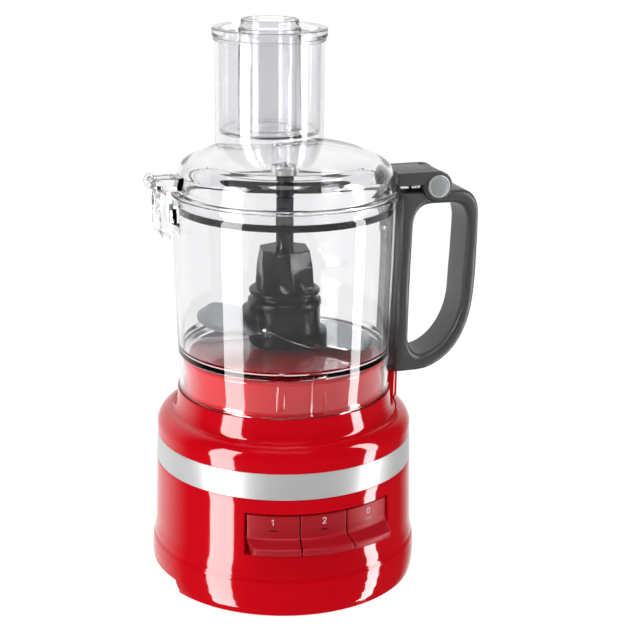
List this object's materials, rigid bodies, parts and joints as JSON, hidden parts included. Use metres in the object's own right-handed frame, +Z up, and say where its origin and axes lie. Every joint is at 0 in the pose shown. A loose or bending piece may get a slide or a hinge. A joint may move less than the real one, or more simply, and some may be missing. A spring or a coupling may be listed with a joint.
{
  "type": "food processor",
  "caption": "Upright kitchen food processor: red motor base with paddle buttons, clear handled bowl, hinged clear lid with feed tube and pushers, and a two-level blade on a drive stem.",
  "frame": {"origin": "on the drive axis, in the plane that the foot ring stands on", "axes": "+Z up along the drive axis; +X towards the handle; -Y towards the buttons"},
  "size_m": [0.2409, 0.2022, 0.3973],
  "materials": {
    "red_gloss": "glossy",
    "red_satin": "satin",
    "band_silver": "satin",
    "clear_plastic": "clear",
    "dark_grey_plastic": "satin",
    "black_plastic": "satin",
    "black_rubber": "matte",
    "silver_cap": "satin",
    "blade_steel": "brushed",
    "dark_steel": "satin",
    "steel": "plain",
    "laminated_steel": "plain",
    "copper": "plain",
    "bronze": "plain",
    "alloy": "cast",
    "carbon": "matte",
    "white_plastic": "satin",
    "board": "satin"
  },
  "bodies": {
    "base": {"base_housing": "red_gloss", "trim_band": "band_silver", "bottom_cover": "black_plastic", "rubber_feet": "black_rubber", "cover_screws": "steel", "cord_inlet": "black_rubber", "chassis_plate": "alloy", "motor_screws": "steel", "motor_stator": "laminated_steel", "field_coils": "copper", "upper_motor_bracket": "alloy", "lower_motor_bracket": "alloy", "motor_bushes": "bronze", "carbon_brushes": "carbon", "upper_spindle_bearing": "steel", "lower_spindle_bearing": "steel", "shaft_seal": "black_rubber", "drive_belt": "black_rubber", "switch_bracket": "black_plastic", "button_switches": "white_plastic", "button_leaf_springs": "steel", "control_board": "board", "interlock_switch": "white_plastic", "interlock_spring": "steel"},
    "motor_rotor": {"motor_shaft": "steel", "armature_core": "laminated_steel", "commutator": "copper", "cooling_fan": "white_plastic", "motor_pulley": "steel"},
    "spindle": {"drive_spindle": "steel", "spindle_pulley": "black_plastic", "spindle_circlip": "steel"},
    "button_1": {"button_1": "red_satin"},
    "button_2": {"button_2": "red_satin"},
    "button_pulse": {"button_pulse": "red_satin"},
    "interlock_plunger": {"interlock_plunger": "white_plastic"},
    "bowl": {"bowl": "clear_plastic", "bowl_handle": "dark_grey_plastic", "handle_screws": "steel", "rod_spring": "steel"},
    "interlock_rod": {"interlock_rod": "white_plastic"},
    "lid": {"lid": "clear_plastic", "lid_gasket": "black_rubber", "lid_arm": "dark_grey_plastic", "arm_screws": "steel", "hinge_pin": "steel", "hinge_caps": "silver_cap", "stem_bush": "white_plastic"},
    "latch": {"latch_lever": "clear_plastic", "latch_pin": "steel"},
    "large_pusher": {"large_pusher": "clear_plastic"},
    "small_pusher": {"small_pusher": "clear_plastic"},
    "blade": {"drive_stem": "dark_steel", "blade_hub": "black_plastic", "upper_blade": "blade_steel", "lower_blade": "blade_steel"}
  },
  "joints": [
    {"name": "spindle_spin", "type": "hinge", "parent": "base", "child": "spindle", "pos_m": [0, 0, 0.1], "axis": [0, 0, 1], "continuous": true},
    {"name": "motor_spin", "type": "hinge", "parent": "base", "child": "motor_rotor", "pos_m": [0, 0.046, 0.07], "axis": [0, 0, 1], "continuous": true},
    {"name": "blade_spin", "type": "hinge", "parent": "bowl", "child": "blade", "pos_m": [0, 0, 0.2], "axis": [0, 0, 1], "continuous": true},
    {"name": "bowl_lift", "type": "slide", "parent": "base", "child": "bowl", "axis": [0, 0, 1], "range_m": [0, 0.07]},
    {"name": "lid_hinge", "type": "hinge", "parent": "bowl", "child": "lid", "pos_m": [0.109, 0, 0.2825], "axis": [0, 1, 0], "range_deg": [0, 95]},
    {"name": "latch_swing", "type": "hinge", "parent": "lid", "child": "latch", "pos_m": [-0.0935, 0, 0.293], "axis": [0, 1, 0], "range_deg": [0, 100]},
    {"name": "large_pusher_slide", "type": "slide", "parent": "lid", "child": "large_pusher", "axis": [0, 0, 1], "range_m": [0, 0.08]},
    {"name": "small_pusher_slide", "type": "slide", "parent": "large_pusher", "child": "small_pusher", "axis": [0, 0, 1], "range_m": [0, 0.08]},
    {"name": "rod_rise", "type": "slide", "parent": "bowl", "child": "interlock_rod", "axis": [0, 0, 1], "range_m": [0, 0.004]},
    {"name": "interlock_press", "type": "slide", "parent": "base", "child": "interlock_plunger", "axis": [0, 0, -1], "range_m": [0, 0.003], "stiffness_N_per_m": 300, "springref_m": -0.002},
    {"name": "button_1_press", "type": "hinge", "parent": "base", "child": "button_1", "pos_m": [-0.0334, -0.08185, 0.0734], "axis": [0.9259, -0.3778, 0], "range_deg": [0, 4], "stiffness_Nm_per_rad": 1.2, "springref_deg": -4.58},
    {"name": "button_2_press", "type": "hinge", "parent": "base", "child": "button_2", "pos_m": [0.00023, -0.0884, 0.0734], "axis": [1, 0.0026, 0], "range_deg": [0, 4], "stiffness_Nm_per_rad": 1.2, "springref_deg": -4.58},
    {"name": "button_pulse_press", "type": "hinge", "parent": "base", "child": "button_pulse", "pos_m": [0.03361, -0.08176, 0.0734], "axis": [0.9249, 0.3803, 0], "range_deg": [0, 4], "stiffness_Nm_per_rad": 1.2, "springref_deg": -4.58}
  ],
  "couplings": [
    {"joint": "blade_spin", "follows": "spindle_spin", "ratio": 1},
    {"joint": "motor_spin", "follows": "spindle_spin", "ratio": 4},
    {"joint": "rod_rise", "follows": "lid_hinge", "m_per_rad": 0.0021}
  ]
}
